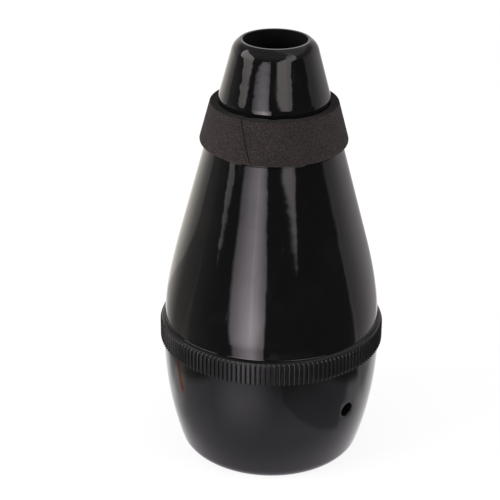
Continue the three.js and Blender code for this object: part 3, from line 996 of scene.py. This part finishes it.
class MUTE_OT_inside(bpy.types.Operator):
    """Makes the gasket, the funnel tube and the damping pad"""

    bl_idname = "mute.inside"
    bl_label = "Inner pieces"

    def execute(self, context):
        at = levels(context.scene)
        finish = at.finish
        gasket = shaded(turned(self.gasket(at), 192), "gasket_ring")
        rubber = satin_plastic(finish, "gasket rubber", finish.rubber, roughness=0.62)
        dress(gasket, rubber, "gasket_rubber", "bowl", "seam_gasket")
        tube = shaded(turned(self.tube(at), 128), "funnel_tube")
        moulded = satin_plastic(finish, "satin black plastic, tube", finish.tube, roughness=0.4)
        dress(tube, moulded, "satin_plastic", "cone", "inner_tube")
        pad = shaded(turned(self.pad(at), 160), "bowl_pad", sharp=50.0)
        open_foam = foam("open-cell foam, pad", finish.pad, cell_scale=900.0, depth=0.0004)
        dress(pad, open_foam, "pad_foam", "bowl", "damping_pad")
        return {"FINISHED"}

    def gasket(self, at):
        """A flat ring on top of the flange."""
        outer = at.flange_radius - at.bowl.flange_chamfer - at.inner.gasket_margin
        inner = at.mouth_radius + at.inner.gasket_margin
        bottom, top = at.flange_top, at.spigot_bottom
        return [(inner, bottom), (outer, bottom), (outer, top), (inner, top)]

    def tube(self, at):
        """A funnel that is bonded inside the neck, and the straight tube under it."""
        sizes = at.inner
        seat = -(at.bowl.wall + at.seal.bond_gap)
        inside = seat - sizes.tube_wall
        seat_out = on_cone(at, sizes.tube_drop + sizes.funnel_seat, seat)
        seat_in = on_cone(at, sizes.tube_drop + sizes.funnel_seat, inside)
        throat = seat_out[1] - sizes.funnel_length
        end = throat - sizes.tube_length
        bore, radius = sizes.tube_bore, sizes.tube_bore + sizes.tube_wall
        return [
            (bore, end),
            (radius, end),
            *curve((radius, throat), (radius, seat_out[1] - sizes.tube_wall), seat_out, 12),
            on_cone(at, sizes.tube_drop, seat),
            on_cone(at, sizes.tube_drop, inside),
            *curve(seat_in, (bore, seat_in[1]), (bore, throat), 12),
        ]

    def pad(self, at):
        """A round pad on the floor of the bowl."""
        bowl, sizes = at.bowl, at.inner
        bottom = bowl.wall + at.seal.bond_gap
        top = bottom + sizes.pad_thickness
        centre = (bowl.base_radius - sizes.pad_edge, top - sizes.pad_edge)
        edge = arc(centre, sizes.pad_edge, 0.0, math.pi / 2, 8)
        return [
            *straight((0.0, bottom), (bowl.base_radius, bottom), 6),
            *edge,
            *straight(edge[-1], (0.0, top), 6)[1:],
        ]


# Stage


# The places that the room's light and the window's are seen from
ROOM_MIDDLE = (0.0, 0.0, 0.09)
WINDOW_MIDDLE = (-0.006, -0.039, 0.066)
# Where the painted patch of daylight lies on the table
PATCH_MIDDLE = (-0.042, -0.095, 0.0)
WHITE = (1.0, 1.0, 1.0)
# What the orange strip does to the light on the table
ORANGE = (1.2, 0.36, 0.2)


def angles(tree, direction):
    """A direction's turn and its rise, in degrees."""
    x, y, z = split(tree, vector_maths(tree, "NORMALIZE", direction))
    turn, rise = maths(tree, "ARCTAN2", x, y * -1.0), maths(tree, "ARCSINE", z)
    return maths(tree, "DEGREES", turn), maths(tree, "DEGREES", rise)


def summed(tree, lights):
    """The sum of colours, each times its level."""
    result = (0.0, 0.0, 0.0)
    for level, colour in lights:
        result = vector_maths(tree, "ADD", result, vector_maths(tree, "SCALE", colour, Scale=level))
    return result


@shader_group(("Light",), "NodeSocketColor", Direction=None, Window_Direction=None)
def room_light(tree, direction, window_direction):
    """What the plastic sees in each direction. Turn 0 is the camera's side and 90 is to the right.

    Turns, rises, sides and heights are in degrees. The window is seen from a place of its own, so that
    its reflection keeps its form on the cone and the bowl.
    """
    turn, rise = angles(tree, direction)
    right_wall = (
        (turn - rise.ramp(-6, 8, 88, 76.5)).ramp(-2, 3, 0, 0.36)
        + turn.ramp(89, 122, 0, 0.25)
        + turn.ramp(128, 150, 0, -0.12)
        + turn.ramp(154, 172, 0, 0.55)
    )
    # The edge of the left wall leans back below the mute's middle
    lean = (rise + 6.0).at_most(0.0) * 1.7 - 110.0
    left_wall = (
        turn.ramp(-104, -58, 0.19, 0.03) * rise.ramp(-5, 4, 1, 0.5)
        + turn.ramp(-140, -110, 0.52, 0)
        + (turn - lean).ramp(-1.3, 1.3, 0.28, 0)
        + turn.ramp(-168, -140, 0.1, 0)
    )
    overhead = (
        rise.ramp(6, 50, 0, 0.26)
        + rise.ramp(34, 44, 0, 0.26) * turn.ramp(35, 60)
        + rise.ramp(12, 22, 0, 0.25) * rise.ramp(45, 55, 1, 0) * abs(turn).ramp(130, 160)
    )

    # The window: its two edges lean, and a brighter bar stands in it
    side, height = angles(tree, window_direction)
    left_edge = height.over(7.5) * 4.0 - 48.0
    right_edge = height.ramp(4, 9, -6.5, -11.5)
    # Higher up, the left side of the window reaches further round
    side_left = side + height.ramp(7, 9, 0, 5.5)
    # Low down, its bright middle lies further to the left
    side_low = side + height.ramp(-22, -9, 3.0, 0)
    bar = 1.2 - abs(side_low + 22.5)
    streak = bar.ramp(-2.0, 2.0) * height.ramp(6, 9, 0.2, 0) * height.ramp(-22, -9)
    window = (
        (streak + 1.0)
        * (side_left - left_edge).ramp(-1, 4)
        * (right_edge - side).ramp(-1, 1.5)
        * side_left.ramp(-48, -21, 0.34, 1.0)
        * side_low.ramp(-21, -6, 1.0, 0.42)
        * height.ramp(-9, 18, 5.7, 1.5)
        * height.ramp(12, 14, 1, 0)
        * height.ramp(-27, -17, 0.66, 1.0)
    )

    # The lamp on the left: its turns from start to end, and its slanting top
    middle = rise * -0.3 - 68.5
    half = (rise * 1.9 + 1.2).at_most(13.0)
    start = middle - half + rise.ramp(3.2, 4.5, 0, -6) + rise.ramp(5, 9.5, 0, -10)
    end = middle + half + rise.ramp(3.2, 4.2, 0, -5) + rise.ramp(5.8, 10, 0, 6.5) + rise.over(10.0) * 0.3
    top = (turn * -0.29 + 14.1).at_most(turn * -1.0 - 34.0)
    left_lamp = (
        (turn - start).ramp(-1.5, 1.5)
        * (turn - start).ramp(3, 6, 1.35, 1.0)
        * (end - turn).ramp(-1.5, 1.5)
        * (top - rise).ramp(-2, 2)
        * (rise.ramp(-1, 10, 0.75, 2.2) + rise.ramp(12, 20, 0, 0.5))
    )

    # The lamp on the right, which widens towards its top
    middle = (rise * -1.0).over(-8.0) + 24.5
    half = ((rise - 3.7) * 2.3).at_most(15.5)
    start = middle - half + rise.ramp(9, 11, 0, -3.5) + rise.over(13.0) * 1.3 + rise.ramp(38, 42, 0, -12)
    end = middle + half + rise.over(10.5).at_most(14.5) * 1.4 + rise.over(25.0) * 0.25
    right_lamp = (
        (turn - start).ramp(-5, 2)
        * (end - turn).ramp(-1.5, 1.5)
        * (turn - middle).ramp(0, 5, 1.06, 0.9)
        * rise.ramp(3, 14, 1.5, 2.1)
        * rise.ramp(30, 60, 1, 0.15)
    )
    # The walls fade out above the mute
    walls_low = rise.ramp(8, 32, 1, 0)
    lights = (
        (left_lamp + right_lamp, (1.0, 0.93, 0.905)),
        (window, (1.0, 0.905, 0.985)),
        (right_wall * walls_low, (1.0, 0.935, 0.965)),
        (left_wall * walls_low, (1.0, 0.95, 0.88)),
        (overhead + 0.02, (1.0, 0.96, 0.98)),
    )
    return [summed(tree, lights)]


def room_at(tree, position):
    """The room's light where it falls on a position close to the mute."""
    return grouped(
        tree, room_light,
        Direction=vector_maths(tree, "SUBTRACT", position, ROOM_MIDDLE),
        Window_Direction=vector_maths(tree, "SUBTRACT", position, WINDOW_MIDDLE),
    )["Light"]


def by_ray(tree, output, plain, camera, glossy):
    """Joins an output to three shaders: for camera rays, for glossy rays and for all others."""
    path = add(tree, "LightPath").outputs
    by_camera = add(tree, "MixShader", {0: path["Is Camera Ray"], 1: plain, 2: camera})
    by_gloss = add(tree, "MixShader", {0: path["Is Glossy Ray"], 1: by_camera, 2: glossy})
    add(tree, output, {"Surface": by_gloss})


def stage_piece(bm, name, finish):
    """Makes the bmesh a piece of the stage, with an empty material whose glow isn't sampled as a lamp."""
    made = placed(bm, name)
    material = bpy.data.materials.new(finish)
    material.use_nodes = True
    material.node_tree.nodes.clear()
    material.cycles.emission_sampling = "NONE"
    made.data.materials.append(material)
    return made, material.node_tree


class MUTE_OT_stage(bpy.types.Operator):
    """Sets up the pale floor, the lights, the room and the camera"""

    bl_idname = "mute.stage"
    bl_label = "Stage"

    def execute(self, context):
        scene = context.scene
        self.floor()
        self.room(scene)
        self.window_foot()
        self.lamps(scene)
        self.camera(scene)
        scene.view_settings.view_transform = "Standard"
        return {"FINISHED"}

    def floor(self):
        """The table: pale to the camera, glowing with the room's painted light to reflections, and plain grey
        to other rays.
        """
        bm = bmesh.new()
        bmesh.ops.create_grid(bm, x_segments=1, y_segments=1, size=6.0)
        _, tree = stage_piece(bm, "floor", "pale table")
        position = add(tree, "TexCoord").outputs["Object"]
        light = self.lit_table(tree, position)
        reflected = add(tree, "Emission", {"Color": light})
        glow = add(tree, "Emission", {"Strength": 0.86})
        matt = add(tree, "BsdfDiffuse", {"Color": (0.24, 0.24, 0.24)})
        seen = add(tree, "AddShader", {0: glow, 1: matt})
        under = add(tree, "BsdfDiffuse", {"Color": (0.6, 0.6, 0.6)})
        by_ray(tree, "OutputMaterial", under, seen, reflected)

    def lit_table(self, tree, position):
        """The painted light of the table that the plastic shows: a glow that only reflections see."""
        x, y, _ = split(tree, position)
        # The painted glow is white behind and under the mute, and duller in front of it
        off_middle = x - 0.008
        width = abs(x)
        painted_glow = (
            # Painted light: the level of the glow that reflections see on the table
            y.ramp(-0.12, -0.06, 0.20, 0.53) * width.ramp(0.03, 0.07, 1.0, 0.8)
            + (y - off_middle * off_middle * 10.0).ramp(-0.052, -0.012, 0, 0.56)
        )
        # On the right, past a slanting edge, the glow is painted darker
        past = x - (y * 0.483 + 0.060).over(0.016) - 0.016
        painted_glow = painted_glow * (1.0 - past.ramp(-0.003, 0.003, 0, 0.42) * y.ramp(-0.031, -0.025, 1, 0))
        # A painted patch of daylight lies on the left
        off_patch = Level(tree, vector_maths(tree, "DISTANCE", position, PATCH_MIDDLE))
        painted_glow = painted_glow + off_patch.ramp(0.008, 0.055, 0.62, 0)
        cool, warm = [
            vector_maths(tree, "SCALE", tint, Scale=painted_glow) for tint in ((0.985, 0.93, 1.02), (1.03, 1.0, 1.0))
        ]
        near = mixed(tree, y.ramp(-0.03, 0.0), cool, warm)
        # Further off, the table glows with the room's painted light
        reach = Level(tree, vector_maths(tree, "LENGTH", position))
        far = maths(tree, "MAXIMUM", reach.ramp(0.160, 0.190), width.ramp(0.084, 0.099))
        # Beside the mute the painted glow is brighter on both sides
        left = x.ramp(-0.067, -0.050, 1, 0) * y.ramp(-0.010, 0.003, 0, 0.55) * y.ramp(0.018, 0.030, 1, 0.3)
        right = x.ramp(0.058, 0.070, 0, 0.42) * y.ramp(-0.028, -0.020) * y.ramp(-0.002, 0.010, 1, 0)
        gain = left + right + 1.0
        table = mixed(tree, far, near, room_at(tree, position))
        light = vector_maths(tree, "SCALE", table, Scale=gain)
        # A painted reflection of a narrow orange strip lies on the left and points away from the mute
        along = x * -0.835 + y * 0.55 - 0.0608
        across = abs(x * 0.55 + y * 0.835 + 0.0413)
        strip = across.ramp(0.0022, 0.0048, 1, 0) * along.ramp(-0.006, 0.004) * along.ramp(0.045, 0.05, 1, 0)
        return mixed(tree, strip, light, vector_maths(tree, "MULTIPLY", light, ORANGE))

    def room(self, scene):
        """White to the camera, the room's light to reflections, and an even fill to everything else."""
        world = bpy.data.worlds.new("room")
        scene.world = world
        world.use_nodes = True
        tree = world.node_tree
        tree.nodes.clear()
        direction = add(tree, "TexCoord").outputs["Generated"]
        light = grouped(tree, room_light, Direction=direction, Window_Direction=direction)["Light"]
        reflected = add(tree, "Background", {"Color": light})
        backdrop = add(tree, "Background", {"Color": WHITE, "Strength": 1.0})
        fill = add(tree, "Background", {"Color": WHITE, "Strength": scene.mute_stage.fill_level})
        by_ray(tree, "OutputWorld", fill, backdrop, reflected)
        world.cycles.sampling_method = "NONE"

    def window_foot(self):
        """A low card by the mute that carries the window's reflection down to the collar."""
        facing = math.radians(-27.0)
        middle = Vector((math.sin(facing), -math.cos(facing), 0.0)) * 0.125
        along = Vector((math.cos(facing), math.sin(facing), 0.0))
        left, right, bottom, top = -0.04, 0.06, 0.0055, 0.026
        corners = ((left, bottom), (right, bottom), (right, top), (left, top))
        bm = bmesh.new()
        bm.faces.new([bm.verts.new(middle + along * u + Vector((0.0, 0.0, z))) for u, z in corners])
        made, tree = stage_piece(bm, "window_foot", "daylight card")
        position = add(tree, "TexCoord").outputs["Object"]
        glow = add(tree, "Emission", {"Color": room_at(tree, position)})
        add(tree, "OutputMaterial", {"Surface": glow})
        for ray in ("camera", "diffuse", "shadow", "transmission", "volume_scatter"):
            setattr(made, "visible_" + ray, False)

    def lamps(self, scene):
        """The two soft lamps, which light the matt pieces and stay out of reflections."""
        for name, place, watts in (
            ("soft lamp left", Vector((-1.35, -0.6, 0.45)), 19.0),
            ("soft lamp right", Vector((1.5, -0.65, 0.5)), 14.0),
        ):
            light = bpy.data.lights.new(name, "AREA")
            light.shape = "SQUARE"
            light.size = 0.9
            light.energy = watts * scene.mute_stage.lamp_level
            lamp = linked(name, light)
            lamp.location = place
            aim = Vector((0.0, 0.0, 0.08)) - place
            lamp.rotation_euler = aim.to_track_quat("-Z", "Y").to_euler()
            lamp.visible_glossy = False
            lamp.visible_camera = False

    def camera(self, scene):
        """The camera that takes the photo's view."""
        stage = scene.mute_stage
        data = bpy.data.cameras.new("camera")
        data.sensor_width = 36.0
        data.lens = stage.camera_lens
        data.clip_start, data.clip_end = 0.01, 50.0
        scene.camera = linked("camera", data)
        scene.camera.matrix_world = (
            Matrix.Translation(Vector(stage.camera_place))
            @ Matrix.Rotation(math.pi / 2 - stage.camera_pitch, 4, "X")
            @ Matrix.Rotation(stage.camera_roll, 4, "Z")
        )


OPERATORS = (MUTE_OT_bowl, MUTE_OT_cone, MUTE_OT_collar, MUTE_OT_seal, MUTE_OT_inside, MUTE_OT_stage)


class MUTE_PT_sidebar(bpy.types.Panel):
    """Lists the mute's operators and sizes"""

    bl_idname = "MUTE_PT_sidebar"
    bl_label = "Practice mute"
    bl_space_type = "VIEW_3D"
    bl_region_type = "UI"
    bl_category = "Mute"

    def draw(self, context):
        for operator in OPERATORS:
            self.layout.operator(operator.bl_idname)
        for name, group in GROUPS.items():
            box = self.layout.box()
            box.label(text=group.__doc__)
            for key in group.__annotations__:
                box.prop(getattr(context.scene, name), key)


def register():
    for cls in (*GROUPS.values(), *OPERATORS, MUTE_PT_sidebar):
        bpy.utils.register_class(cls)
    for name, group in GROUPS.items():
        setattr(bpy.types.Scene, name, bpy.props.PointerProperty(type=group))


def unregister():
    for name in GROUPS:
        delattr(bpy.types.Scene, name)
    for cls in reversed((*GROUPS.values(), *OPERATORS, MUTE_PT_sidebar)):
        bpy.utils.unregister_class(cls)


def main():
    register()
    bpy.ops.mute.bowl()
    bpy.ops.mute.cone()
    bpy.ops.mute.collar()
    bpy.ops.mute.seal()
    bpy.ops.mute.inside()
    bpy.ops.mute.stage()


if __name__ == "__main__":
    main()
